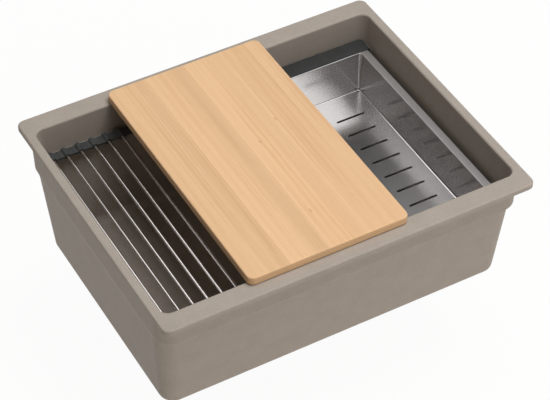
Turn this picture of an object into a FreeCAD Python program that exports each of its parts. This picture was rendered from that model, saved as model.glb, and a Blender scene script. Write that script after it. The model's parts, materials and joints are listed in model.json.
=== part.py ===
import FreeCAD, Part
import os
import Sketcher

# A single-bowl workstation sink with its accessories. The origin is the centre of the rim's seat, the plane
# under the flange. X runs along the bowl, Y to the back and Z up. Every length is in millimetres.

SIZES = {
    # Rim and opening of the bowl
    "rim_length": 635,
    "rim_width": 516,
    "rim_thick": 10.5,
    "rim_corner": 13,
    "rim_round": 3,
    "rim_under_round": 2,
    "rim_end": 15.5,
    "rim_front": 34,
    "opening_corner": 15,
    "lip_round": 3.5,
    # Outside of the bowl, from the rim down
    "sink_depth": 226.5,
    "overhang_end": 5.5,
    "overhang_front": 23.5,
    "shoulder_corner": 30,
    "shoulder_draft": 1,
    "step_drop": 62,
    "step_height": 8,
    "step_end": 3,
    "step_front": 11,
    "step_round": 3,
    "body_corner": 30,
    "base_end_draft": 11.5,
    "base_front_draft": 18.5,
    "base_corner": 24,
    "base_round": 14,
    # Inside of the bowl
    "ledge_drop": 56.5,
    "ledge_width": 10,
    "ledge_draft": 1,
    "basin_corner": 24,
    "floor_end_wall": 11,
    "floor_front_wall": 8.5,
    "floor_corner": 24,
    "floor_round": 16,
    "floor_thick": 12,
    "floor_fall": 2,
    "fall_margin": 31.5,
    # Strainer set
    "drain_hole_radius": 44.5,
    "recess_radius": 59,
    "recess_depth": 3,
    "strainer_flange_radius": 57,
    "strainer_flange_thick": 1.6,
    "strainer_bevel": 1,
    "cup_radius": 42.6,
    "cup_wall": 1.5,
    "cup_depth": 52,
    "cup_slope": 9,
    "cup_seat_radius": 31,
    "neck_radius": 22,
    "neck_bore_radius": 19,
    "neck_length": 20,
    "seal_thick": 1.2,
    "seal_inset": 3,
    "gasket_radius": 56,
    "gasket_thick": 4,
    "friction_ring_thick": 1.2,
    "locknut_radius": 53,
    "locknut_height": 11,
    "locknut_collar_radius": 48,
    "lug_reach": 5,
    "lug_width": 12,
    "ring_play": 0.3,
    "thread_play": 0.05,
    "washer_thick": 1.5,
    "tail_radius": 19.05,
    "tail_wall": 1.3,
    "tail_length": 110,
    "tail_collar_radius": 19.6,
    "tail_collar_length": 5,
    "tail_flange_thick": 1.5,
    "coupling_across": 56,
    "coupling_grip": 13,
    "coupling_lip": 3,
    # Strainer basket
    "basket_play": 1.6,
    "basket_sheet": 1,
    "basket_floor_radius": 29,
    "basket_height": 36,
    "basket_rim": 2.4,
    "basket_hole_radius": 2.2,
    "basket_row_gap": 9,
    "stopper_radius": 28,
    "stopper_thick": 4,
    "post_radius": 3,
    "post_height": 30,
    "post_foot_radius": 6,
    "post_foot_thick": 2.5,
    "post_play": 0.05,
    "knob_radius": 9,
    "knob_height": 7,
    "knob_round": 2,
    # Cutting board
    "board_inset": 21,
    "board_width": 272.3,
    "board_thick": 15,
    "board_corner": 11,
    "board_round": 2.5,
    "board_offset": 32.2,
    # Roll-up rack
    "rack_margin": 19.6,
    "rack_rest": 364,
    "rod_radius": 2.4,
    "rod_insert": 14,
    "rod_play": 0.05,
    "strip_width": 17,
    "strip_wall_gap": 7,
    "strip_end": 6,
    "sleeve_radius": 5,
    "web_thick": 3.2,
    "web_drop": 3.6,
    "link_gap": 0.4,
    "link_lift": 0.8,
    # Colander
    "tray_margin": 122,
    "tray_length": 190.6,
    "tray_end_gap": 34,
    "tray_depth": 78,
    "tray_draft": 2.6,
    "tray_sheet": 1.2,
    "tray_corner": 4,
    "tray_fold": 2,
    "tray_side_lip": 12,
    "tray_end_lip": 15,
    "tray_lip_round": 1.1,
    "slot_length": 52.6,
    "slot_width": 4.4,
    "slot_pitch": 38,
    "slot_margin": 23.2,
    "relief_radius": 2,
    "rail_length": 228,
    "rail_height": 6,
    "rail_cover": 1.6,
    "rail_play": 0.05,
    "rail_round": 1.5,
    "rail_corner": 8,
    "rail_wall_gap": 2,
    # One overrun for every cut that runs out of its solid
    "cut_overrun": 5,
}

# Sizes that follow from others, as formulas in the sheet
FOLLOWING = {
    "opening_length": "rim_length - 2 * rim_end",
    "opening_width": "rim_width - 2 * rim_front",
    "shoulder_length": "rim_length - 2 * overhang_end",
    "shoulder_width": "rim_width - 2 * overhang_front",
    "body_length": "shoulder_length - 2 * step_end",
    "body_width": "shoulder_width - 2 * step_front",
    "base_length": "body_length - 2 * base_end_draft",
    "base_width": "body_width - 2 * base_front_draft",
    "floor_length": "base_length - 2 * floor_end_wall",
    "floor_width": "base_width - 2 * floor_front_wall",
    "fall_radius": "floor_width / 2 - fall_margin",
    "board_length": "rim_width - 2 * board_inset",
    "rack_offset": "opening_length / 2 - rack_margin",
    "tray_offset": "opening_length / 2 - tray_margin",
    "tray_width": "opening_width - 2 * tray_end_gap",
    "tray_floor_length": "tray_length - 2 * tray_draft",
    "tray_floor_width": "tray_width - 2 * tray_draft",
}

ROD_COUNT = 11
LINK_COUNT = 4
SLOT_ROWS = 8
BASKET_HOLES_AROUND = 16
BASKET_HOLE_ROWS = 2
LOCKNUT_LUGS = 6
COUPLING_SIDES = 8

FULL_TURN = 360
QUARTER_TURN = FULL_TURN / 4
HORIZONTAL_AXIS, VERTICAL_AXIS = range(-1, -3, -1)
SKETCH_ORIGIN = HORIZONTAL_AXIS
START, END, CENTRE = range(1, 4)
NEAR_SHARE = 1e-5


class Size:
    """A length with its number now and the formula that keeps it bound to the sheet."""

    def __init__(self, number, formula):
        self.number = float(number)
        self.formula = formula

    def __add__(self, other):
        other = as_size(other)
        return Size(self.number + other.number, f"({self.formula} + {other.formula})")

    def __sub__(self, other):
        other = as_size(other)
        return Size(self.number - other.number, f"({self.formula} - {other.formula})")

    def __mul__(self, other):
        other = as_size(other)
        return Size(self.number * other.number, f"({self.formula} * {other.formula})")

    def __truediv__(self, other):
        other = as_size(other)
        return Size(self.number / other.number, f"({self.formula} / {other.formula})")

    def __neg__(self):
        return Size(-self.number, f"(0 - {self.formula})")


class SizeReader:
    """Reads a size from the sheet by its alias, as sizes.rim_length."""

    def __init__(self, sheet):
        self.sheet = sheet

    def __getattr__(self, alias):
        return Size(self.sheet.get(alias), f"{self.sheet.Name}.{alias}")


def as_size(value):
    if isinstance(value, Size):
        return value
    return Size(value, str(value))


def make_sheet():
    sheet = doc.addObject("Spreadsheet::Sheet", "Sizes")
    contents = {alias: str(number) for alias, number in SIZES.items()}
    contents.update({alias: f"={formula}" for alias, formula in FOLLOWING.items()})
    contents["rod_pitch"] = f"=(opening_length - rack_rest) / {ROD_COUNT - 1}"
    for row, (alias, content) in enumerate(contents.items(), start=1):
        sheet.set(f"A{row}", alias)
        sheet.set(f"B{row}", content)
        sheet.setAlias(f"B{row}", alias)
    doc.recompute()
    return sheet


def bind(thing, **properties):
    """Bind properties of an object to the sheet, as Length=size."""
    for name, value in properties.items():
        thing.setExpression(name, as_size(value).formula)


def place(thing, x=0, y=0, z=0):
    """Bind where an object stands."""
    for axis, value in (("x", x), ("y", y), ("z", z)):
        thing.setExpression(f"Placement.Base.{axis}", as_size(value).formula)


def new_body(label):
    body = doc.addObject("PartDesign::Body", label)
    body.Label = label
    sub_parts.append(body)
    return body


def origin_feature(body, role):
    return next(feature for feature in body.Origin.OriginFeatures if feature.Role == role)


def new_sketch(body, role, height=0):
    """A sketch on one of the body's own origin planes, raised along the plane's normal."""
    sketch = body.newObject("Sketcher::SketchObject", f"{body.Name}_sketch")
    sketch.AttachmentSupport = (origin_feature(body, role), [""])
    sketch.MapMode = "FlatFace"
    sketch.setExpression("AttachmentOffset.Base.z", as_size(height).formula)
    return sketch


def pin(sketch, geometry, point, x=None, y=None):
    """Hold a point of a sketch at x and y from the sketch's origin."""
    wanted = (("DistanceX", x, VERTICAL_AXIS), ("DistanceY", y, HORIZONTAL_AXIS))
    for kind, value, axis in wanted:
        if value is None:
            continue
        value = as_size(value)
        if value.number == 0:
            sketch.addConstraint(Sketcher.Constraint("PointOnObject", geometry, point, axis))
            continue
        index = sketch.addConstraint(
            Sketcher.Constraint(kind, SKETCH_ORIGIN, START, geometry, point, value.number)
        )
        sketch.setExpression(f"Constraints[{index}]", value.formula)


def set_radius(sketch, geometry, radius):
    radius = as_size(radius)
    index = sketch.addConstraint(Sketcher.Constraint("Radius", geometry, radius.number))
    sketch.setExpression(f"Constraints[{index}]", radius.formula)


def vector(x, y):
    return FreeCAD.Vector(as_size(x).number, as_size(y).number, 0)


def add_arc(sketch, x, y, radius, start_degrees, end_degrees):
    circle = Part.Circle(vector(x, y), FreeCAD.Vector(0, 0, 1), as_size(radius).number)
    start = FreeCAD.Units.Quantity(start_degrees, FreeCAD.Units.Angle).getValueAs("rad").Value
    end = FreeCAD.Units.Quantity(end_degrees, FreeCAD.Units.Angle).getValueAs("rad").Value
    return sketch.addGeometry(Part.ArcOfCircle(circle, start, end), False)


def join_tangent(sketch, first, second):
    sketch.addConstraint(Sketcher.Constraint("Tangent", first, END, second, START))


def draw_polygon(sketch, corners):
    """A closed outline of straight lines, each corner held at its place."""
    points = [vector(x, y) for x, y in corners]
    lines = []
    for start, end in zip(points, points[1:] + points[:1]):
        lines.append(sketch.addGeometry(Part.LineSegment(start, end), False))
    for line, following in zip(lines, lines[1:] + lines[:1]):
        sketch.addConstraint(Sketcher.Constraint("Coincident", line, END, following, START))
    for line, (x, y) in zip(lines, corners):
        pin(sketch, line, START, x, y)


def draw_rounded_box(sketch, length, width, corner):
    """A rectangle about the sketch's origin, with round corners."""
    right = length / 2
    top = width / 2
    straight_x = right - corner
    straight_y = top - corner
    sides = []
    arcs = []
    ends = (
        ((-straight_x, -top), (straight_x, -top)),
        ((right, -straight_y), (right, straight_y)),
        ((straight_x, top), (-straight_x, top)),
        ((-right, straight_y), (-right, -straight_y)),
    )
    centres = (
        (straight_x, -straight_y, -QUARTER_TURN),
        (straight_x, straight_y, 0),
        (-straight_x, straight_y, QUARTER_TURN),
        (-straight_x, -straight_y, QUARTER_TURN * 2),
    )
    for (start, end), (x, y, turn) in zip(ends, centres):
        sides.append(sketch.addGeometry(Part.LineSegment(vector(*start), vector(*end)), False))
        arcs.append(add_arc(sketch, x, y, corner, turn, turn + QUARTER_TURN))
    for side, arc, following in zip(sides, arcs, sides[1:] + sides[:1]):
        join_tangent(sketch, side, arc)
        join_tangent(sketch, arc, following)
    for side, kind in zip(sides, ("Horizontal", "Vertical", "Horizontal", "Vertical")):
        sketch.addConstraint(Sketcher.Constraint(kind, side))
    for arc in arcs[1:]:
        sketch.addConstraint(Sketcher.Constraint("Equal", arcs[0], arc))
    set_radius(sketch, arcs[0], corner)
    pin(sketch, sides[0], START, y=-top)
    pin(sketch, sides[1], START, x=right)
    pin(sketch, sides[2], START, y=top)
    pin(sketch, sides[3], START, x=-right)


def draw_slot(sketch, x, y, length, width):
    """A round-ended slot along the sketch's X, about its centre."""
    radius = width / 2
    reach = length / 2 - radius
    lower = sketch.addGeometry(
        Part.LineSegment(vector(x - reach, y - radius), vector(x + reach, y - radius)), False
    )
    right = add_arc(sketch, x + reach, y, radius, -QUARTER_TURN, QUARTER_TURN)
    upper = sketch.addGeometry(
        Part.LineSegment(vector(x + reach, y + radius), vector(x - reach, y + radius)), False
    )
    left = add_arc(sketch, x - reach, y, radius, QUARTER_TURN, QUARTER_TURN * 3)
    ring = [lower, right, upper, left]
    for first, second in zip(ring, ring[1:] + ring[:1]):
        join_tangent(sketch, first, second)
    sketch.addConstraint(Sketcher.Constraint("Horizontal", lower))
    set_radius(sketch, right, radius)
    pin(sketch, right, CENTRE, x + reach, y)
    pin(sketch, left, CENTRE, x - reach)


def draw_circle(sketch, x, y, radius):
    circle = Part.Circle(vector(x, y), FreeCAD.Vector(0, 0, 1), as_size(radius).number)
    index = sketch.addGeometry(circle, False)
    set_radius(sketch, index, radius)
    pin(sketch, index, CENTRE, x, y)


def pad(body, sketch, length, reverse=False, middle=False):
    feature = body.newObject("PartDesign::Pad", "Pad")
    feature.Profile = sketch
    feature.Reversed = reverse
    feature.Midplane = middle
    bind(feature, Length=length)
    return feature


def pocket(body, sketch, length, reverse=False, middle=False):
    feature = body.newObject("PartDesign::Pocket", "Pocket")
    feature.Profile = sketch
    feature.Reversed = reverse
    feature.Midplane = middle
    bind(feature, Length=length)
    return feature


def turn(body, kind, corners):
    """Turn a closed outline of radius and height about the body's Z axis."""
    sketch = new_sketch(body, "XZ_Plane")
    draw_polygon(sketch, corners)
    feature = body.newObject(kind, "Turned")
    feature.Profile = sketch
    feature.ReferenceAxis = (sketch, ["V_Axis"])
    feature.Angle = FULL_TURN
    return feature


def loft(body, kind, sections):
    """A straight-sided loft through round-cornered rectangles, given as height, length, width and corner."""
    sketches = []
    for height, length, width, corner in sections:
        sketch = new_sketch(body, "XY_Plane", height)
        draw_rounded_box(sketch, length, width, corner)
        sketches.append(sketch)
    feature = body.newObject(kind, "Loft")
    feature.Profile = sketches[0]
    feature.Sections = sketches[1:]
    feature.Ruled = True
    return feature


def round_edges(body, radius, chosen):
    """Round the edges of the body's last feature that a test picks."""
    doc.recompute()
    base = body.Tip
    names = [f"Edge{index}" for index, edge in enumerate(base.Shape.Edges, start=1) if chosen(edge)]
    feature = body.newObject("PartDesign::Fillet", "Round")
    feature.Base = (base, names)
    bind(feature, Radius=radius)
    doc.recompute()
    return feature


def lies_at(low, high, level):
    """Whether both ends of a span lie at a level, within a small share of the sink's length."""
    near = sizes.rim_length.number * NEAR_SHARE
    return abs(low - level.number) < near and abs(high - level.number) < near


def at_height(edge, height):
    return lies_at(edge.BoundBox.ZMin, edge.BoundBox.ZMax, height)


def repeat_along(body, feature, role, length, count):
    pattern = body.newObject("PartDesign::LinearPattern", "Row")
    pattern.Originals = [feature]
    pattern.Direction = (origin_feature(body, role), [""])
    pattern.Occurrences = count
    bind(pattern, Length=length)
    body.Tip = pattern
    return pattern


def repeat_round(body, features, count):
    pattern = body.newObject("PartDesign::PolarPattern", "Ring")
    pattern.Originals = features
    pattern.Axis = (origin_feature(body, "Z_Axis"), [""])
    pattern.Angle = FULL_TURN
    pattern.Occurrences = count
    body.Tip = pattern
    return pattern


def make_levels():
    """Heights that several pieces share, from the rim's seat."""
    levels = {}
    levels["top"] = sizes.rim_thick
    levels["step_top"] = levels["top"] - sizes.step_drop
    levels["step_foot"] = levels["step_top"] - sizes.step_height
    levels["ledge"] = levels["top"] - sizes.ledge_drop
    levels["base"] = levels["top"] - sizes.sink_depth
    levels["floor"] = levels["base"] + sizes.floor_thick
    levels["recess"] = levels["floor"] - sizes.floor_fall - sizes.recess_depth
    levels["strainer"] = levels["recess"] + sizes.seal_thick
    levels["cup_floor"] = levels["strainer"] - sizes.cup_depth
    levels["neck_end"] = levels["cup_floor"] - sizes.neck_length
    levels["rod"] = levels["ledge"] + sizes.sleeve_radius
    levels["rail_top"] = levels["ledge"] + sizes.rail_height
    levels["tray_lip"] = levels["rail_top"] - sizes.rail_cover
    return levels


def make_bowl():
    body = new_body("sink_bowl")
    rim = new_sketch(body, "XY_Plane")
    draw_rounded_box(rim, sizes.rim_length, sizes.rim_width, sizes.rim_corner)
    pad(body, rim, sizes.rim_thick)
    step_length = sizes.shoulder_length - sizes.shoulder_draft * 2
    step_width = sizes.shoulder_width - sizes.shoulder_draft * 2
    loft(body, "PartDesign::AdditiveLoft", (
        (0, sizes.shoulder_length, sizes.shoulder_width, sizes.shoulder_corner),
        (levels["step_top"], step_length, step_width, sizes.shoulder_corner),
        (levels["step_foot"], sizes.body_length, sizes.body_width, sizes.body_corner),
        (levels["base"], sizes.base_length, sizes.base_width, sizes.base_corner),
    ))
    round_edges(body, sizes.base_round, lambda edge: at_height(edge, levels["base"]))
    round_edges(
        body, sizes.step_round,
        lambda edge: at_height(edge, levels["step_top"]) or at_height(edge, levels["step_foot"]),
    )
    # The end walls run down unbroken, so the bowl's length at the ledge lies on the line from rim to floor.
    inner_depth = sizes.sink_depth - sizes.floor_thick
    end_slope = (sizes.opening_length - sizes.floor_length) / inner_depth
    ledge_length = sizes.opening_length - end_slope * sizes.ledge_drop
    ledge_outer = sizes.opening_width - sizes.ledge_draft * 2
    loft(body, "PartDesign::SubtractiveLoft", (
        (levels["top"], sizes.opening_length, sizes.opening_width, sizes.opening_corner),
        (levels["ledge"], ledge_length, ledge_outer, sizes.opening_corner),
    ))
    loft(body, "PartDesign::SubtractiveLoft", (
        (levels["ledge"], ledge_length, ledge_outer - sizes.ledge_width * 2, sizes.basin_corner),
        (levels["floor"], sizes.floor_length, sizes.floor_width, sizes.floor_corner),
    ))
    round_edges(body, sizes.floor_round, lambda edge: at_height(edge, levels["floor"]))
    cut_drain(body)
    soften_rim(body)
    return body


def cut_drain(body):
    """A floor that falls to the drain, a recess for the strainer's flange, and the hole."""
    fall_foot = levels["floor"] - sizes.floor_fall
    turn(body, "PartDesign::Groove", (
        (0, levels["floor"]),
        (sizes.fall_radius, levels["floor"]),
        (sizes.recess_radius, fall_foot),
        (sizes.recess_radius, levels["recess"]),
        (sizes.drain_hole_radius, levels["recess"]),
        (sizes.drain_hole_radius, levels["base"] - sizes.cut_overrun),
        (0, levels["base"] - sizes.cut_overrun),
    ))


def soften_rim(body):
    half_opening_length = sizes.opening_length.number / 2
    half_opening_width = sizes.opening_width.number / 2

    def is_outer(edge):
        centre = edge.CenterOfMass
        return abs(centre.x) > half_opening_length or abs(centre.y) > half_opening_width

    def is_lip(edge):
        near = sizes.lip_round.number
        box = edge.BoundBox
        wide = abs(box.XMin) < half_opening_length + near and abs(box.XMax) < half_opening_length + near
        deep = abs(box.YMin) < half_opening_width + near and abs(box.YMax) < half_opening_width + near
        return wide and deep

    def is_rim_under(edge):
        centre = edge.CenterOfMass
        beyond_length = abs(centre.x) > sizes.shoulder_length.number / 2
        beyond_width = abs(centre.y) > sizes.shoulder_width.number / 2
        return beyond_length or beyond_width

    round_edges(
        body, sizes.rim_round,
        lambda edge: at_height(edge, levels["top"]) and is_outer(edge) and not is_lip(edge),
    )
    round_edges(body, sizes.lip_round, lambda edge: at_height(edge, levels["top"]) and is_lip(edge))
    round_edges(body, sizes.rim_under_round, lambda edge: at_height(edge, as_size(0)) and is_rim_under(edge))


def make_strainer_body():
    body = new_body("strainer_body")
    inner = sizes.cup_radius - sizes.cup_wall
    floor = -sizes.cup_depth
    slope_top = floor + sizes.cup_slope
    neck_end = floor - sizes.neck_length
    turn(body, "PartDesign::Revolution", (
        (sizes.strainer_flange_radius, 0),
        (sizes.strainer_flange_radius - sizes.strainer_bevel, sizes.strainer_flange_thick),
        (inner + sizes.strainer_bevel, sizes.strainer_flange_thick),
        (inner, sizes.strainer_flange_thick - sizes.strainer_bevel),
        (inner, slope_top),
        (sizes.cup_seat_radius, floor),
        (sizes.neck_bore_radius, floor),
        (sizes.neck_bore_radius, neck_end),
        (sizes.neck_radius, neck_end),
        (sizes.neck_radius, floor - sizes.cup_wall),
        (sizes.cup_seat_radius, floor - sizes.cup_wall),
        (sizes.cup_radius, slope_top - sizes.cup_wall),
        (sizes.cup_radius, 0),
    ))
    place(body, z=levels["strainer"])


def make_ring(label, inner, outer, thick, z):
    """A flat ring that stands on z."""
    body = new_body(label)
    turn(body, "PartDesign::Revolution", ((inner, 0), (outer, 0), (outer, thick), (inner, thick)))
    place(body, z=z)


def make_under_sink_rings():
    gasket_foot = levels["base"] - sizes.gasket_thick
    friction_foot = gasket_foot - sizes.friction_ring_thick
    bore = sizes.cup_radius + sizes.ring_play
    seal_outer = sizes.strainer_flange_radius - sizes.seal_inset
    make_ring("strainer_seal", sizes.drain_hole_radius, seal_outer, sizes.seal_thick, levels["recess"])
    make_ring("sink_gasket", bore, sizes.gasket_radius, sizes.gasket_thick, gasket_foot)
    make_ring("friction_ring", bore, sizes.gasket_radius, sizes.friction_ring_thick, friction_foot)
    make_locknut(friction_foot)


def make_locknut(top):
    """A flanged ring nut with lugs round its collar."""
    body = new_body("strainer_locknut")
    bore = sizes.cup_radius + sizes.thread_play
    flange_foot = -sizes.locknut_height / 3
    turn(body, "PartDesign::Revolution", (
        (bore, 0),
        (sizes.locknut_radius, 0),
        (sizes.locknut_radius, flange_foot),
        (sizes.locknut_collar_radius, flange_foot),
        (sizes.locknut_collar_radius, -sizes.locknut_height),
        (bore, -sizes.locknut_height),
    ))
    sketch = new_sketch(body, "XY_Plane")
    middle = (bore + sizes.locknut_collar_radius) / 2
    tip = sizes.locknut_collar_radius + sizes.lug_reach
    half = sizes.lug_width / 2
    draw_polygon(sketch, ((middle, -half), (tip, -half), (tip, half), (middle, half)))
    lug = pad(body, sketch, sizes.locknut_height, reverse=True)
    repeat_round(body, [lug], LOCKNUT_LUGS)
    place(body, z=top)


def make_outlet():
    washer_foot = levels["neck_end"] - sizes.washer_thick
    flange_foot = washer_foot - sizes.tail_flange_thick
    tail_bore = sizes.tail_radius - sizes.tail_wall
    make_ring("outlet_washer", sizes.neck_bore_radius, sizes.neck_radius, sizes.washer_thick, washer_foot)
    tail = new_body("tailpiece")
    turn(tail, "PartDesign::Revolution", (
        (tail_bore, sizes.tail_flange_thick),
        (sizes.neck_radius, sizes.tail_flange_thick),
        (sizes.neck_radius, 0),
        (sizes.tail_collar_radius, 0),
        (sizes.tail_collar_radius, -sizes.tail_collar_length),
        (sizes.tail_radius, -sizes.tail_collar_length),
        (sizes.tail_radius, -sizes.tail_length),
        (tail_bore, -sizes.tail_length),
    ))
    place(tail, z=flange_foot)
    make_coupling_nut(flange_foot)


def make_coupling_nut(flange_foot):
    """An eight-sided nut that draws the tailpiece's flange up to the strainer's neck."""
    grip = sizes.coupling_grip + sizes.washer_thick + sizes.tail_flange_thick
    body = new_body("coupling_nut")
    sketch = new_sketch(body, "XY_Plane")
    draw_circle(sketch, 0, 0, sizes.coupling_across / 2)
    pad(body, sketch, grip + sizes.coupling_lip)
    flats = new_sketch(body, "XY_Plane")
    half_side = sizes.coupling_across / 2
    flat_share = 0.925
    inside = half_side * flat_share
    outside = half_side + sizes.cut_overrun
    draw_polygon(flats, (
        (inside, -half_side), (outside, -half_side), (outside, half_side), (inside, half_side),
    ))
    flat = pocket(body, flats, grip + sizes.coupling_lip, reverse=True)
    repeat_round(body, [flat], COUPLING_SIDES)
    turn(body, "PartDesign::Groove", (
        (0, -sizes.cut_overrun),
        (sizes.tail_collar_radius + sizes.thread_play, -sizes.cut_overrun),
        (sizes.tail_collar_radius + sizes.thread_play, sizes.coupling_lip),
        (sizes.neck_radius + sizes.thread_play, sizes.coupling_lip),
        (sizes.neck_radius + sizes.thread_play, grip + sizes.coupling_lip + sizes.cut_overrun),
        (0, grip + sizes.coupling_lip + sizes.cut_overrun),
    ))
    place(body, z=flange_foot - sizes.coupling_lip)


def make_basket():
    """A pierced cup that stands on its rubber stopper, with a post to lift it by."""
    stopper_foot = levels["cup_floor"]
    basket_foot = stopper_foot + sizes.stopper_thick
    post_bore = sizes.post_radius + sizes.post_play
    make_ring("basket_stopper", post_bore, sizes.stopper_radius, sizes.stopper_thick, stopper_foot)
    body = new_body("strainer_basket")
    sheet = sizes.basket_sheet
    wide = sizes.cup_radius - sizes.cup_wall - sizes.basket_play
    rim_inside = wide - sizes.basket_rim
    rim_foot = sizes.basket_height - sizes.basket_rim
    turn(body, "PartDesign::Revolution", (
        (post_bore, 0),
        (sizes.basket_floor_radius, 0),
        (rim_inside + sheet, rim_foot),
        (wide, rim_foot),
        (wide, sizes.basket_height),
        (rim_inside, sizes.basket_height),
        (rim_inside, rim_foot),
        (sizes.basket_floor_radius - sheet, sheet),
        (post_bore, sheet),
    ))
    pierce_basket(body, wide)
    place(body, z=basket_foot)
    make_post(basket_foot)


def pierce_basket(body, wide):
    """Rows of drain holes, each drilled from the axis out through the wall."""
    holes = []
    for row in range(BASKET_HOLE_ROWS):
        sketch = new_sketch(body, "XZ_Plane")
        draw_circle(sketch, 0, sizes.basket_row_gap * (row + 1), sizes.basket_hole_radius)
        holes.append(pocket(body, sketch, wide + sizes.cut_overrun))
    repeat_round(body, holes, BASKET_HOLES_AROUND)


def make_post(basket_foot):
    """A stem through the basket's floor, with a foot plate on that floor and a knob on top."""
    body = new_body("basket_post")
    below = -sizes.stopper_thick
    plate_foot = sizes.basket_sheet
    plate_top = plate_foot + sizes.post_foot_thick
    knob_foot = plate_top + sizes.post_height
    knob_top = knob_foot + sizes.knob_height
    turn(body, "PartDesign::Revolution", (
        (0, below),
        (sizes.post_radius, below),
        (sizes.post_radius, plate_foot),
        (sizes.post_foot_radius, plate_foot),
        (sizes.post_foot_radius, plate_top),
        (sizes.post_radius, plate_top),
        (sizes.post_radius, knob_foot),
        (sizes.knob_radius - sizes.knob_round, knob_foot),
        (sizes.knob_radius, knob_foot + sizes.knob_round),
        (sizes.knob_radius, knob_top - sizes.knob_round),
        (sizes.knob_radius - sizes.knob_round, knob_top),
        (0, knob_top),
    ))
    place(body, z=basket_foot)


def make_board():
    body = new_body("cutting_board")
    sketch = new_sketch(body, "XY_Plane")
    draw_rounded_box(sketch, sizes.board_width, sizes.board_length, sizes.board_corner)
    pad(body, sketch, sizes.board_thick)
    round_edges(
        body, sizes.board_round,
        lambda edge: at_height(edge, sizes.board_thick) or at_height(edge, as_size(0)),
    )
    place(body, x=-sizes.board_offset, z=levels["top"])


def draw_link(sketch, left, right, lift):
    """One pitch of a rack strip about its rod: a flat-footed sleeve with a web on each side."""
    radius = sizes.sleeve_radius
    foot = lift - radius
    web_top = radius - sizes.web_drop
    web_foot = web_top - sizes.web_thick
    corners = (
        (-left, web_top), (-left, web_foot), (-radius, web_foot), (-radius, foot),
        (radius, foot), (radius, web_foot), (right, web_foot), (right, web_top),
    )
    rise = (radius.number ** 2 - web_top.number ** 2) ** 0.5
    meet_right = FreeCAD.Vector(rise, web_top.number, 0)
    meet_left = FreeCAD.Vector(-rise, web_top.number, 0)
    points = [meet_left] + [vector(x, y) for x, y in corners] + [meet_right]
    lines = []
    for start, end in zip(points, points[1:]):
        lines.append(sketch.addGeometry(Part.LineSegment(start, end), False))
    over = FreeCAD.Vector(0, radius.number, 0)
    arc = sketch.addGeometry(Part.Arc(meet_right, over, meet_left), False)
    for line, following in zip(lines, lines[1:] + [arc]):
        sketch.addConstraint(Sketcher.Constraint("Coincident", line, END, following, START))
    sketch.addConstraint(Sketcher.Constraint("Coincident", arc, END, lines[0], START))
    for line, (x, y) in zip(lines, corners):
        pin(sketch, line, END, x, y)
    pin(sketch, arc, CENTRE, 0, 0)
    set_radius(sketch, arc, radius)
    pin(sketch, arc, START, y=web_top)
    pin(sketch, arc, END, y=web_top)


def make_strip(label, first_rod, rods, side, right_gap, lift):
    """A silicone strip over the ends of some rods, at the back for a side of 1, at the front for -1."""
    body = new_body(label)
    outward = side > 0
    sketch = new_sketch(body, "XZ_Plane")
    half = sizes.rod_pitch / 2
    left = half if first_rod else sizes.strip_end
    draw_link(sketch, left, half - right_gap, lift)
    sleeve = pad(body, sketch, sizes.strip_width, reverse=outward)
    hole = new_sketch(body, "XZ_Plane")
    draw_circle(hole, 0, 0, sizes.rod_radius + sizes.rod_play)
    bore = pocket(body, hole, sizes.rod_insert + sizes.rod_play, reverse=not outward)
    if rods > 1:
        pattern = repeat_along(body, sleeve, "X_Axis", sizes.rod_pitch * (rods - 1), rods)
        pattern.Originals = [sleeve, bore]
    inner = strip_inner_edge()
    place(body, x=rod_place(first_rod), y=inner * side, z=levels["rod"])


def strip_inner_edge():
    wall = sizes.opening_width / 2 - sizes.ledge_draft
    return wall - sizes.strip_wall_gap - sizes.strip_width


def rod_place(index):
    return sizes.rod_pitch * index - sizes.rack_offset


def make_rod(index):
    rod = doc.addObject("Part::Cylinder", f"rack_rod_{index + 1:02d}")
    rod.Label = rod.Name
    reach = strip_inner_edge() + sizes.rod_insert
    bind(rod, Radius=sizes.rod_radius, Height=reach * 2)
    along_y = FreeCAD.Rotation(FreeCAD.Vector(1, 0, 0), -QUARTER_TURN)
    rod.Placement = FreeCAD.Placement(FreeCAD.Vector(0, 0, 0), along_y)
    place(rod, rod_place(index), -reach, levels["rod"])
    sub_parts.append(rod)


def make_rack():
    """Rods through two strips: the left links fold clear of the ledge, the rest lies on it as one run."""
    for index in range(ROD_COUNT):
        make_rod(index)
    for name, side in (("back", 1), ("front", -1)):
        for link in range(LINK_COUNT):
            make_strip(f"rack_link_{name}_{link + 1}", link, 1, side, sizes.link_gap, sizes.link_lift)
        make_strip(f"rack_strip_{name}", LINK_COUNT, ROD_COUNT - LINK_COUNT, side, as_size(0), as_size(0))


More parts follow.
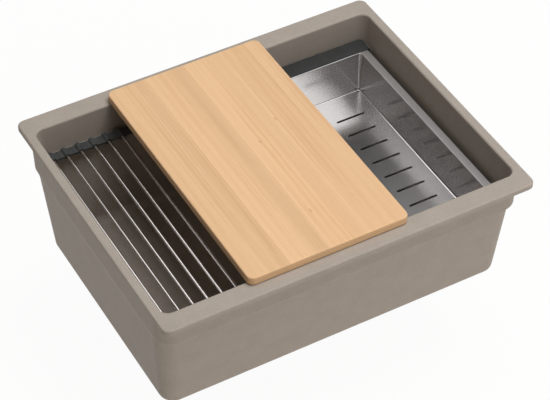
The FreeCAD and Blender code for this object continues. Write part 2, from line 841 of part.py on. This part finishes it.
def make_tray():
    """A folded steel tray: lip all round, walls that lean out, slotted floor, relief holes at its corners."""
    body = new_body("colander_tray")
    wall = sizes.tray_sheet * 2
    outer_corner = sizes.tray_corner + sizes.tray_sheet
    foot = -sizes.tray_depth - sizes.tray_sheet
    loft(body, "PartDesign::AdditiveLoft", (
        (0, sizes.tray_length + wall, sizes.tray_width + wall, outer_corner),
        (foot, sizes.tray_floor_length + wall, sizes.tray_floor_width + wall, outer_corner),
    ))
    round_edges(body, sizes.tray_fold + sizes.tray_sheet, lambda edge: at_height(edge, foot))
    lip = new_sketch(body, "XY_Plane")
    lip_length = sizes.tray_length + wall + sizes.tray_side_lip * 2
    lip_width = sizes.tray_width + wall + sizes.tray_end_lip * 2
    draw_rounded_box(lip, lip_length, lip_width, outer_corner)
    pad(body, lip, sizes.tray_sheet, reverse=True)
    loft(body, "PartDesign::SubtractiveLoft", (
        (0, sizes.tray_length, sizes.tray_width, sizes.tray_corner),
        (-sizes.tray_depth, sizes.tray_floor_length, sizes.tray_floor_width, sizes.tray_corner),
    ))
    round_edges(body, sizes.tray_fold, lambda edge: at_height(edge, -sizes.tray_depth))
    half_length = (sizes.tray_length + sizes.tray_sheet).number / 2
    half_width = (sizes.tray_width + sizes.tray_sheet).number / 2
    round_edges(
        body, sizes.tray_lip_round,
        lambda edge: at_height(edge, as_size(0))
        and abs(edge.CenterOfMass.x) < half_length and abs(edge.CenterOfMass.y) < half_width,
    )
    cut_slots(body)
    cut_reliefs(body)
    place(body, x=sizes.tray_offset, z=levels["tray_lip"])


def cut_slots(body):
    """Two columns of long drain slots across the floor."""
    column = sizes.tray_floor_length / 2 - sizes.slot_margin - sizes.slot_length / 2
    run = sizes.slot_pitch * (SLOT_ROWS - 1)
    sketch = new_sketch(body, "XY_Plane", -sizes.tray_depth)
    for x in (-column, column):
        draw_slot(sketch, x, -run / 2, sizes.slot_length, sizes.slot_width)
    slot = pocket(body, sketch, sizes.tray_sheet + sizes.cut_overrun)
    repeat_along(body, slot, "Y_Axis", run, SLOT_ROWS)


def cut_reliefs(body):
    """A small hole in each floor corner, where three folds meet."""
    sketch = new_sketch(body, "XY_Plane", -sizes.tray_depth + sizes.tray_fold)
    reach_x = sizes.tray_floor_length / 2 - sizes.tray_corner
    reach_y = sizes.tray_floor_width / 2 - sizes.tray_corner
    for x in (-reach_x, reach_x):
        for y in (-reach_y, reach_y):
            draw_circle(sketch, x, y, sizes.relief_radius)
    pocket(body, sketch, sizes.tray_sheet + sizes.tray_fold + sizes.cut_overrun)


def make_rail(label, side):
    """A plastic rail gripped on the tray's end lip, which rests on the sink's ledge."""
    body = new_body(label)
    inner = sizes.tray_width / 2 + sizes.tray_sheet + sizes.rail_play
    wall = sizes.opening_width / 2 - sizes.ledge_draft
    width = wall - sizes.rail_wall_gap - inner
    lip_top = -sizes.rail_cover
    lip_foot = lip_top - sizes.tray_sheet - sizes.rail_play
    groove = sizes.tray_end_lip
    outline = (
        (0, 0), (width, 0), (width, -sizes.rail_height), (0, -sizes.rail_height),
        (0, lip_foot), (groove, lip_foot), (groove, lip_top), (0, lip_top),
    )
    sketch = new_sketch(body, "YZ_Plane")
    draw_polygon(sketch, [(y * side, z) for y, z in outline])
    pad(body, sketch, sizes.rail_length, middle=True)
    far = width * side
    half_height = sizes.rail_height.number / 2

    def is_far_corner(edge):
        box = edge.BoundBox
        return lies_at(box.YMin, box.YMax, far) and box.ZLength > half_height

    round_edges(body, sizes.rail_corner, is_far_corner)
    near = sizes.rail_play.number
    round_edges(
        body, sizes.rail_round,
        lambda edge: at_height(edge, as_size(0)) and abs(edge.CenterOfMass.y) > near,
    )
    place(body, sizes.tray_offset, inner * side, levels["rail_top"])


def check_document():
    for thing in doc.Objects:
        if "Invalid" in thing.State or "Error" in thing.State:
            raise RuntimeError(f"{thing.Label} did not recompute: {thing.State}")
    for thing in sub_parts:
        if thing.Shape.isNull() or not thing.Shape.isValid():
            raise RuntimeError(f"{thing.Label} has no valid solid")
        if len(thing.Shape.Solids) != 1:
            raise RuntimeError(f"{thing.Label} has {len(thing.Shape.Solids)} solids")


def write_parts():
    os.makedirs("parts", exist_ok=True)
    for thing in sub_parts:
        thing.Shape.exportStep(os.path.join("parts", f"{thing.Label}.step"))


doc = FreeCAD.newDocument("WorkstationSink")
sizes = SizeReader(make_sheet())
levels = make_levels()
sub_parts = []

make_bowl()
make_strainer_body()
make_under_sink_rings()
make_outlet()
make_basket()
make_board()
make_rack()
make_tray()
make_rail("colander_rail_back", 1)
make_rail("colander_rail_front", -1)
doc.recompute()
check_document()
write_parts()
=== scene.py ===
import bpy
import json
import math
from mathutils import Euler, Matrix, Vector


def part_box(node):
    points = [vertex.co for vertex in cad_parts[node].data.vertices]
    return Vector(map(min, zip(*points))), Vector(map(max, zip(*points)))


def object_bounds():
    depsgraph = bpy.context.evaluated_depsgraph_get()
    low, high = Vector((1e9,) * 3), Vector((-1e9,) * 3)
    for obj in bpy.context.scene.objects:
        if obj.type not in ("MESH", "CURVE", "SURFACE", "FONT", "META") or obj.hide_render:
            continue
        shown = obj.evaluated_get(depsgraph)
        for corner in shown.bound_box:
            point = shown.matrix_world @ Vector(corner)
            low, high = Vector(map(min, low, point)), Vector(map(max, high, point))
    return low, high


# A composite workstation sink with its board, rack and colander, dressed and lit.
# Lengths are in metres, but the camera's lens and sensor are in millimetres.
# A surface's stops are pairs of a place along a scale from 0 to 1 and the colour there.

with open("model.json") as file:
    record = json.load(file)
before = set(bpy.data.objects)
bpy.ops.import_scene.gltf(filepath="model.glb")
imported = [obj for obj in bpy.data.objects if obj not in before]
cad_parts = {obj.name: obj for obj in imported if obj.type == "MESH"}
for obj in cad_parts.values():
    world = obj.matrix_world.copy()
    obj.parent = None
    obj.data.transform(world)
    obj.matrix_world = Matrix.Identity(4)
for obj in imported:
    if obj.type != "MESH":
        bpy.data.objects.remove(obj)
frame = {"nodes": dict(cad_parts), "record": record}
cad_low, cad_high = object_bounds()

# The photograph's camera, with its angles in degrees
# LEVEL turns a camera from looking straight down to looking level
CAMERA_PLACE = (-1.1622, -2.1130, 2.2322)
CAMERA_HEADING = 28.9
CAMERA_TILT = 43.94
CAMERA_ROLL = -0.39
CAMERA_LENS = 138.84
CAMERA_SENSOR = 36.0
CAMERA_SHIFT = (0.0009, -0.0005)
LEVEL = 90

# Lamps and the even light from all round
WHITE = (1.0, 1.0, 1.0)
WARM_WHITE = (1.0, 0.97, 0.93)
LIGHTS = {
    "key": {"place": (0.6, -0.45, 3.2), "size": (1.8, 1.8), "power": 110, "colour": WHITE},
    "front": {"place": (0.5, -2.8, 0.1), "size": (1.8, 0.8), "power": 19, "colour": WARM_WHITE},
}
AMBIENT_STRENGTH = 0.19
AMBIENT_COLOUR = (1.0, 0.90, 0.77)

# The floor, whose share of plain white grows from near the sink to far from it
FLOOR_SIZE = 8.0
FLOOR_DROP = 0.0005
FLOOR_WHITE = 0.955
FLOOR_NEAR = 0.7
FLOOR_FAR = 2.2
FLOOR_COLOUR = (0.85, 0.81, 0.76)
FLOOR_ROUGHNESS = 0.9

# Cards that the steel mirrors, each with its brightness from foot to top as (height share, tone)
EVEN = ((0.0, 1.0), (1.0, 1.0))
RIGHT = ((0.0, 0.02), (0.374, 0.025), (0.473, 0.09), (0.572, 0.21), (0.7, 0.5))
MIDDLE = ((0.0, 0.015), (0.34, 0.02), (0.393, 0.045), (0.493, 0.26), (0.593, 0.95), (0.7, 1.0))
CENTRE = ((0.0, 0.3), (0.35, 0.55), (0.5, 0.9), (0.65, 1.0))
LEFT = ((0.0, 0.03), (0.35, 0.05), (0.45, 0.075), (0.55, 0.095), (0.7, 0.2))
FORWARD = (0, -1, 0)
DOWN_LEFT = (-0.35, 0.63, -0.69)
DOWN_RIGHT = (0.35, 0.63, -0.69)
CARDS = {
    "back_right": {
        "place": (1.15, 1.15, 1.2), "facing": FORWARD, "size": (1.6, 2.0),
        "tone": 1.0, "fade": RIGHT,
    },
    "back_centre": {
        "place": (0.15, 1.15, 1.2), "facing": FORWARD, "size": (0.4, 2.0),
        "tone": 2.2, "fade": CENTRE,
    },
    "back_middle": {
        "place": (-0.205, 1.15, 1.2), "facing": FORWARD, "size": (0.31, 2.0),
        "tone": 3.2, "fade": MIDDLE,
    },
    "back_left": {
        "place": (-0.85, 1.15, 1.2), "facing": FORWARD, "size": (1.0, 2.0),
        "tone": 1.0, "fade": LEFT,
    },
    "front_right": {
        "place": (0.97, -1.3, 1.3), "facing": DOWN_LEFT, "size": (1.3, 1.3),
        "tone": 1.7, "fade": EVEN,
    },
    "front_left": {
        "place": (-0.6, -1.3, 1.3), "facing": DOWN_RIGHT, "size": (1.2, 1.3),
        "tone": 0.33, "fade": EVEN,
    },
}

# Layers of detail in a noise
SMOOTH, SOFT, FINE, RICH = 1.0, 2.0, 3.0, 4.0
# Places on a noise between which most of its values lie
NOISE_LOW, NOISE_HIGH = 0.3, 0.7

# Quartz composite: grain and cloud sizes, and bump as (depth, strength)
COMPOSITE_GRAIN = 0.0007
COMPOSITE_FINE = 0.00049
COMPOSITE_CLOUD = 0.03
COMPOSITE_GRAINS = (
    (0.0, (0.316, 0.280, 0.245)),
    (0.12, (0.352, 0.311, 0.272)),
    (0.85, (0.377, 0.334, 0.295)),
    (1.0, (0.427, 0.385, 0.345)),
)
COMPOSITE_CLOUDS = ((NOISE_LOW, (0.93, 0.93, 0.93)), (NOISE_HIGH, WHITE))
COMPOSITE_BUMP = (0.00012, 0.5)
COMPOSITE_ROUGHNESS = (0.50, 0.66)
COMPOSITE_GLOSS = 0.35

# Beech: the staves from left to right, as tone and how far each darkens to its right
STAVES = ((0.975, 0.4), (1.02, 1.0), (1.02, 0.4), (0.97, 0.1))
STAVE_WIDTH = 0.0681
STAVE_MIDDLE = 0.5
# Stops across one stave from its left edge: how it darkens, and the joint
STAVE_FADE = (
    (0.0, WHITE),
    (0.50, (0.98, 0.98, 0.98)),
    (0.76, (0.875, 0.875, 0.88)),
    (0.92, (0.89, 0.89, 0.895)),
    (0.985, (0.95, 0.945, 0.94)),
)
STAVE_JOINT = ((0.0, (0.95, 0.935, 0.92)), (0.015, WHITE))
STREAK_WIDTH = 0.013
STREAK_LENGTH = 0.7
STREAK_BEND = 0.3
STREAKS = (
    (0.30, (0.710, 0.459, 0.263)),
    (0.50, (0.748, 0.495, 0.290)),
    (0.70, (0.770, 0.516, 0.309)),
)
LINE_WIDTH = 0.0024
LINES = ((0.36, (0.86, 0.80, 0.74)), (0.52, WHITE))
# Lines show weakly to strongly as the patch noise goes from the low to the high value
LINE_SHARES = (0.08, 0.75)
PATCH_VALUES = (0.40, 0.64)
PATCH_WIDTH = 0.04
PATCH_LENGTH = 0.3
FIBRE_WIDTH = 0.0006
FIBRE_LENGTH = 0.02
FIBRES = ((0.32, (0.90, 0.87, 0.83)), (0.55, WHITE))
FIBRE_SHARE = 0.45
FLECK_LENGTH = 0.006
FLECKS = ((0.68, WHITE), (0.78, (0.84, 0.76, 0.67)))
FLECK_SHARE = 0.5
KNOT_WIDTH = 0.0011
KNOT_LENGTH = 0.0055
KNOTS = ((-0.012, 0.015), (0.034, 0.050), (-0.020, -0.155))
KNOT_TONES = ((0.4, (0.62, 0.50, 0.40)), (1.0, WHITE))
KNOT_SHARE = 0.8
# A face turned more than this towards Y is an end face
END_FACE_TURN = 0.75
END_GRAIN = ((0.35, (0.57, 0.36, 0.195)), (0.65, (0.71, 0.475, 0.275)))
END_GRAIN_SHARE = 0.7
BEECH_BUMP = (0.0001, 0.3)
BEECH_ROUGHNESS = (0.45, 0.58)
BEECH_GLOSS = 0.3

# Steel: colour, roughness, and how far the brush lines draw a reflection out
SATIN_STEEL = ((0.68, 0.665, 0.66), 0.2, 0.3)
ROD_STEEL = ((0.78, 0.75, 0.73), 0.1, 0.0)
BRUSH_WIDTH = 0.0004
BRUSH_LENGTH = 0.06
BRUSH_SHADE = 0.985
STEEL_HAZE = 0.05
# A swing is how far roughness goes up and down from its middle
STEEL_SWING = 0.015
LIP_BAND = 0.0012
LIP_ROUGHNESS = 0.44

# Chrome
CHROME_HAZE = 0.02
CHROME_TONES = ((NOISE_LOW, (0.49, 0.495, 0.50)), (NOISE_HIGH, (0.56, 0.565, 0.57)))
CHROME_ROUGHNESS = (0.06, 0.14)

# Moulded rubber and plastic: dark tone, light tone and roughness
MOULDED = {
    "slate_silicone": ((0.036, 0.039, 0.039), (0.050, 0.053, 0.052), 0.55),
    "slate_plastic": ((0.026, 0.028, 0.028), (0.036, 0.038, 0.038), 0.5),
    "seal_rubber": ((0.018, 0.018, 0.018), (0.030, 0.030, 0.030), 0.7),
    "dark_plastic": ((0.030, 0.030, 0.032), (0.045, 0.045, 0.047), 0.5),
    "white_plastic": ((0.70, 0.70, 0.68), (0.78, 0.78, 0.76), 0.5),
}
MOULD_GRAIN = 0.0006
MOULD_CLOUD = 0.02
MOULD_BUMP = (0.00008, 0.35)
MOULD_SWING = 0.06
MOULD_GLOSS = 0.4

# Pressed fibre board
FIBRE_BOARD_CELL = (0.004, 0.0008, 0.0008)
FIBRE_BOARD_TONES = ((NOISE_LOW, (0.36, 0.27, 0.17)), (NOISE_HIGH, (0.52, 0.41, 0.28)))
FIBRE_BOARD_BUMP = (0.0001, 0.4)
FIBRE_BOARD_ROUGHNESS = 0.85

# Sockets of the colour mix node, whose names repeat
MIX_AMOUNT, MIX_FIRST, MIX_SECOND, MIX_RESULT = 0, 6, 7, 2


def cube(length):
    return (length, length, length)


def grey(level):
    return (level, level, level)


def opaque(colour):
    return (*colour, 1)


class Surface:
    """A material and its nodes, with short calls to add and join them."""

    def __init__(self, name):
        self.material = bpy.data.materials.new(name)
        self.material.use_nodes = True
        self.tree = self.material.node_tree
        self.shader = self.tree.nodes["Principled BSDF"]
        self.coordinates = self.tree.nodes.new("ShaderNodeTexCoord")

    def node(self, kind, settings=None, **inputs):
        made = self.tree.nodes.new(kind)
        for name, value in (settings or {}).items():
            setattr(made, name, value)
        for name, value in inputs.items():
            self.feed(made, name.replace("_", " "), value)
        return made

    def feed(self, node, name, value):
        """Give an input, by name or number, a value, or join another node's output to it."""
        socket = node.inputs[name]
        if isinstance(value, bpy.types.NodeSocket):
            self.tree.links.new(value, socket)
        else:
            socket.default_value = value

    def math(self, operation, first, second=0.0):
        made = self.node("ShaderNodeMath", {"operation": operation})
        for index, value in enumerate((first, second)):
            self.feed(made, index, value)
        return made.outputs["Value"]

    def steps_from(self, value, start, step):
        """How many steps a value lies past a start."""
        return self.math("DIVIDE", self.math("SUBTRACT", value, start), step)

    def axes(self, vector):
        return self.node("ShaderNodeSeparateXYZ", Vector=self.coordinates.outputs[vector]).outputs

    def place(self, size, shift=None):
        """Object coordinates counted in cells of the given size along X, Y and Z."""
        mapping = self.node("ShaderNodeMapping", Vector=self.coordinates.outputs["Object"])
        mapping.inputs["Scale"].default_value = [1 / length for length in size]
        if shift is not None:
            self.feed(mapping, "Location", shift)
        return mapping.outputs["Vector"]

    def noise(self, size, detail, shift=None, distortion=0.0):
        place = self.place(size, shift)
        made = self.node(
            "ShaderNodeTexNoise", Vector=place, Scale=1.0, Detail=detail, Distortion=distortion
        )
        return made.outputs["Fac"]

    def ramp(self, value, stops):
        made = self.node("ShaderNodeValToRGB", Fac=value)
        elements = made.color_ramp.elements
        given = len(elements)
        for index, (position, colour) in enumerate(stops):
            element = elements[index] if index < given else elements.new(position)
            element.position = position
            element.color = opaque(colour)
        return made.outputs["Color"]

    def span(self, value, low, high, from_low=0.0, from_high=1.0):
        made = self.node("ShaderNodeMapRange", Value=value)
        ends = {"From Min": from_low, "From Max": from_high, "To Min": low, "To Max": high}
        for name, number in ends.items():
            made.inputs[name].default_value = number
        return made.outputs["Result"]

    def mix(self, first, second, amount, blend="MIX"):
        made = self.node("ShaderNodeMix", {"data_type": "RGBA", "blend_type": blend})
        for index, value in ((MIX_AMOUNT, amount), (MIX_FIRST, first), (MIX_SECOND, second)):
            self.feed(made, index, value)
        return made.outputs[MIX_RESULT]

    def tone(self, colour, tone, amount=1.0):
        """Darken a colour by a tone, in full or by a share."""
        return self.mix(colour, tone, amount, "MULTIPLY")

    def bump(self, height, depth, strength):
        made = self.node("ShaderNodeBump", Height=height, Distance=depth, Strength=strength)
        self.feed(self.shader, "Normal", made.outputs["Normal"])

    def finish(self, **inputs):
        for name, value in inputs.items():
            if isinstance(value, tuple):
                value = opaque(value)
            self.feed(self.shader, name.replace("_", " "), value)
        return self.material


def composite():
    """Quartz composite: a matt stone colour with fine light and dark grains."""
    surface = Surface("composite")
    place = surface.place(cube(COMPOSITE_GRAIN))
    cells = surface.node("ShaderNodeTexVoronoi", Vector=place, Scale=1.0)
    grain = surface.node("ShaderNodeSeparateColor", Color=cells.outputs["Color"]).outputs["Red"]
    cloud = surface.noise(cube(COMPOSITE_CLOUD), RICH)
    colour = surface.ramp(grain, COMPOSITE_GRAINS)
    colour = surface.tone(colour, surface.ramp(cloud, COMPOSITE_CLOUDS))
    fine = surface.noise(cube(COMPOSITE_FINE), SOFT)
    surface.bump(fine, *COMPOSITE_BUMP)
    rough = surface.span(fine, *COMPOSITE_ROUGHNESS)
    return surface.finish(Base_Color=colour, Roughness=rough, Specular_IOR_Level=COMPOSITE_GLOSS)


def beech():
    """Edge-glued staves of pale beech, grain along Y, end grain on the short edges."""
    surface = Surface("beech")
    axes = surface.axes("Object")
    across = surface.steps_from(axes["X"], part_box("cutting_board")[0].x, STAVE_WIDTH)
    stave = surface.math("FLOOR", across)
    within = surface.math("FRACT", across)
    dice = surface.node("ShaderNodeTexWhiteNoise", {"noise_dimensions": "1D"}, W=stave)
    shift = surface.node("ShaderNodeCombineXYZ", X=dice.outputs["Value"], Y=stave).outputs["Vector"]

    def grain(width, length, detail, distortion=0.0):
        return surface.noise((width, length, width), detail, shift, distortion)

    streak = grain(STREAK_WIDTH, STREAK_LENGTH, SOFT, STREAK_BEND)
    lines = grain(LINE_WIDTH, STREAK_LENGTH, SOFT)
    patch = grain(PATCH_WIDTH, PATCH_LENGTH, SMOOTH)
    fibre = grain(FIBRE_WIDTH, FIBRE_LENGTH, SOFT)
    fleck = grain(FIBRE_WIDTH, FLECK_LENGTH, SMOOTH)
    pores = grain(FIBRE_WIDTH, FIBRE_WIDTH, SOFT)

    places = [(index + STAVE_MIDDLE) / len(STAVES) for index in range(len(STAVES))]
    tones, fades = ([grey(level) for level in levels] for levels in zip(*STAVES))
    place = surface.math("DIVIDE", surface.math("ADD", stave, STAVE_MIDDLE), len(STAVES))
    colour = surface.ramp(streak, STREAKS)
    colour = surface.tone(colour, surface.ramp(place, list(zip(places, tones))))
    fade_share = surface.ramp(place, list(zip(places, fades)))
    colour = surface.tone(colour, surface.ramp(within, STAVE_FADE), fade_share)
    colour = surface.tone(colour, surface.ramp(within, STAVE_JOINT))
    line_share = surface.span(patch, *LINE_SHARES, *PATCH_VALUES)
    colour = surface.tone(colour, surface.ramp(lines, LINES), line_share)
    colour = surface.tone(colour, surface.ramp(fibre, FIBRES), FIBRE_SHARE)
    colour = surface.tone(colour, surface.ramp(fleck, FLECKS), FLECK_SHARE)
    for x, y in KNOTS:
        side = surface.steps_from(axes["X"], x, KNOT_WIDTH)
        along = surface.steps_from(axes["Y"], y, KNOT_LENGTH)
        squares = [surface.math("POWER", steps, 2) for steps in (side, along)]
        apart = surface.math("SQRT", surface.math("ADD", *squares))
        colour = surface.tone(colour, surface.ramp(apart, KNOT_TONES), KNOT_SHARE)

    turn = surface.math("ABSOLUTE", surface.axes("Normal")["Y"])
    end_face = surface.math("GREATER_THAN", turn, END_FACE_TURN)
    end_share = surface.math("MULTIPLY", end_face, END_GRAIN_SHARE)
    colour = surface.mix(colour, surface.ramp(pores, END_GRAIN), end_share)
    surface.bump(fibre, *BEECH_BUMP)
    rough = surface.span(streak, *BEECH_ROUGHNESS)
    return surface.finish(Base_Color=colour, Roughness=rough, Specular_IOR_Level=BEECH_GLOSS)


def brushed(name, colour, roughness, spread, lip_top=None):
    """Satin steel with fine brush lines along Y, duller at the top of its lip, if it has one."""
    surface = Surface(name)
    lines = surface.noise((BRUSH_WIDTH, BRUSH_LENGTH, BRUSH_WIDTH), FINE)
    haze = surface.noise(cube(STEEL_HAZE), SOFT)
    low = tuple(channel * BRUSH_SHADE for channel in colour)
    tint = surface.ramp(lines, ((NOISE_LOW, low), (NOISE_HIGH, colour)))
    rough = surface.span(haze, roughness - STEEL_SWING, roughness + STEEL_SWING)
    if lip_top is not None:
        height = surface.axes("Object")["Z"]
        duller = surface.span(height, 0.0, LIP_ROUGHNESS - roughness, lip_top - LIP_BAND, lip_top)
        rough = surface.math("ADD", rough, duller)
    round_y = surface.node("ShaderNodeTangent", {"direction_type": "RADIAL", "axis": "Y"})
    surface.feed(surface.shader, "Tangent", round_y.outputs["Tangent"])
    return surface.finish(Base_Color=tint, Metallic=1.0, Roughness=rough, Anisotropic=spread)


def chrome():
    surface = Surface("chrome")
    haze = surface.noise(cube(CHROME_HAZE), FINE)
    tint = surface.ramp(haze, CHROME_TONES)
    rough = surface.span(haze, *CHROME_ROUGHNESS)
    return surface.finish(Base_Color=tint, Metallic=1.0, Roughness=rough)


def moulded(name, dark, light, roughness):
    """Moulded rubber or plastic: fine mould grain and a little unevenness of tone."""
    surface = Surface(name)
    grain = surface.noise(cube(MOULD_GRAIN), SOFT)
    cloud = surface.noise(cube(MOULD_CLOUD), RICH)
    colour = surface.ramp(cloud, ((NOISE_LOW, dark), (NOISE_HIGH, light)))
    surface.bump(grain, *MOULD_BUMP)
    rough = surface.span(grain, roughness - MOULD_SWING, roughness + MOULD_SWING)
    return surface.finish(Base_Color=colour, Roughness=rough, Specular_IOR_Level=MOULD_GLOSS)


def fibre_board():
    surface = Surface("card")
    fibre = surface.noise(FIBRE_BOARD_CELL, RICH)
    colour = surface.ramp(fibre, FIBRE_BOARD_TONES)
    surface.bump(fibre, *FIBRE_BOARD_BUMP)
    return surface.finish(Base_Color=colour, Roughness=FIBRE_BOARD_ROUGHNESS)


def dress():
    """Give every CAD node the material of its slot."""
    tray_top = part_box("colander_tray")[1].z
    made = {
        "composite": composite(),
        "beech": beech(),
        "satin_steel": brushed("satin_steel", *SATIN_STEEL, tray_top),
        "rod_steel": brushed("rod_steel", *ROD_STEEL),
        "card": fibre_board(),
        "chrome": chrome(),
    }
    for name, values in MOULDED.items():
        made[name] = moulded(name, *values)
    for part in frame["record"]["subparts"]:
        thing = frame["nodes"][part["node"]]
        thing.data.materials.clear()
        thing.data.materials.append(made[part["material_slot"]])


def seen_directly(surface):
    """One for camera, glossy and transmission rays, nought for diffuse light."""
    path = surface.node("ShaderNodeLightPath").outputs
    seen = surface.math("MAXIMUM", path["Is Camera Ray"], path["Is Glossy Ray"])
    return surface.math("MAXIMUM", seen, path["Is Transmission Ray"])


def make_floor():
    """A pale floor that shows white far off and keeps a faint shadow near the sink."""
    bpy.ops.mesh.primitive_plane_add(size=FLOOR_SIZE, location=(0, 0, cad_low.z - FLOOR_DROP))
    floor = bpy.context.object
    floor.name = "floor"
    surface = Surface("floor")
    surface.finish(Base_Color=FLOOR_COLOUR, Roughness=FLOOR_ROUGHNESS, Specular_IOR_Level=0.0)
    white = surface.node("ShaderNodeEmission", Color=opaque(WHITE), Strength=1.0)
    place = surface.coordinates.outputs["Object"]
    away = surface.node("ShaderNodeVectorMath", {"operation": "LENGTH"}, Vector=place)
    share = surface.span(away.outputs["Value"], FLOOR_WHITE, 1.0, FLOOR_NEAR, FLOOR_FAR)
    amount = surface.math("MULTIPLY", seen_directly(surface), share)
    mixed = surface.node("ShaderNodeMixShader", Fac=amount)
    _, plain, bright = mixed.inputs
    surface.tree.links.new(surface.shader.outputs["BSDF"], plain)
    surface.tree.links.new(white.outputs["Emission"], bright)
    surface.feed(surface.tree.nodes["Material Output"], "Surface", mixed.outputs["Shader"])
    floor.data.materials.append(surface.material)


def make_world():
    """Faint warm light from all round, which shows as white to the camera and to metal."""
    world = bpy.data.worlds.new("studio")
    bpy.context.scene.world = world
    world.use_nodes = True
    tree = world.node_tree
    background = tree.nodes["Background"]
    path = tree.nodes.new("ShaderNodeLightPath")
    both = tree.nodes.new("ShaderNodeMath")
    both.operation = "MAXIMUM"
    for index, ray in enumerate(("Is Camera Ray", "Is Glossy Ray")):
        tree.links.new(path.outputs[ray], both.inputs[index])
    tint = tree.nodes.new("ShaderNodeMix")
    tint.data_type = "RGBA"
    tree.links.new(both.outputs["Value"], tint.inputs[MIX_AMOUNT])
    tint.inputs[MIX_FIRST].default_value = opaque(AMBIENT_COLOUR)
    tint.inputs[MIX_SECOND].default_value = opaque(WHITE)
    tree.links.new(tint.outputs[MIX_RESULT], background.inputs["Color"])
    strength = tree.nodes.new("ShaderNodeMapRange")
    tree.links.new(both.outputs["Value"], strength.inputs["Value"])
    strength.inputs["To Min"].default_value = AMBIENT_STRENGTH
    strength.inputs["To Max"].default_value = 1.0
    tree.links.new(strength.outputs["Result"], background.inputs["Strength"])


def make_light(name, place, size, power, colour):
    """A soft lamp aimed at the sink, which polished metal doesn't mirror."""
    data = bpy.data.lights.new(name, "AREA")
    data.shape = "RECTANGLE"
    data.size, data.size_y = size
    data.energy = power
    data.color = colour
    lamp = bpy.data.objects.new(name, data)
    lamp.location = place
    lamp.rotation_euler = (-Vector(place)).to_track_quat("-Z", "Y").to_euler()
    lamp.visible_glossy = False
    bpy.context.collection.objects.link(lamp)


def make_card(name, place, facing, size, tone, fade):
    """A card off to one side, brighter or darker towards its top, which the steel mirrors."""
    bpy.ops.mesh.primitive_plane_add(size=1.0, location=place)
    card = bpy.context.object
    card.name = name
    card.scale = (*size, 1)
    card.rotation_euler = Vector(facing).to_track_quat("Z", "Y").to_euler()
    card.visible_camera = False
    card.visible_diffuse = False
    card.visible_shadow = False
    surface = Surface(name)
    height = surface.axes("Generated")["Y"]
    shade = surface.ramp(height, [(share, grey(level)) for share, level in fade])
    glow = surface.node("ShaderNodeEmission", Color=shade, Strength=tone)
    surface.feed(surface.tree.nodes["Material Output"], "Surface", glow.outputs["Emission"])
    surface.material.cycles.emission_sampling = "NONE"
    card.data.materials.append(surface.material)


def make_camera():
    data = bpy.data.cameras.new("camera")
    data.sensor_width = CAMERA_SENSOR
    data.lens = CAMERA_LENS
    data.shift_x, data.shift_y = CAMERA_SHIFT
    camera = bpy.data.objects.new("camera", data)
    aim = Euler((math.radians(LEVEL - CAMERA_TILT), 0, math.radians(-CAMERA_HEADING))).to_matrix()
    roll = Matrix.Rotation(math.radians(CAMERA_ROLL), 3, "Z")
    camera.matrix_world = Matrix.Translation(CAMERA_PLACE) @ (aim @ roll).to_4x4()
    bpy.context.collection.objects.link(camera)
    bpy.context.scene.camera = camera


dress()
make_floor()
make_world()
for name, values in LIGHTS.items():
    make_light(name, **values)
for name, values in CARDS.items():
    make_card(name, **values)
make_camera()
bpy.context.scene.view_settings.view_transform = "Standard"
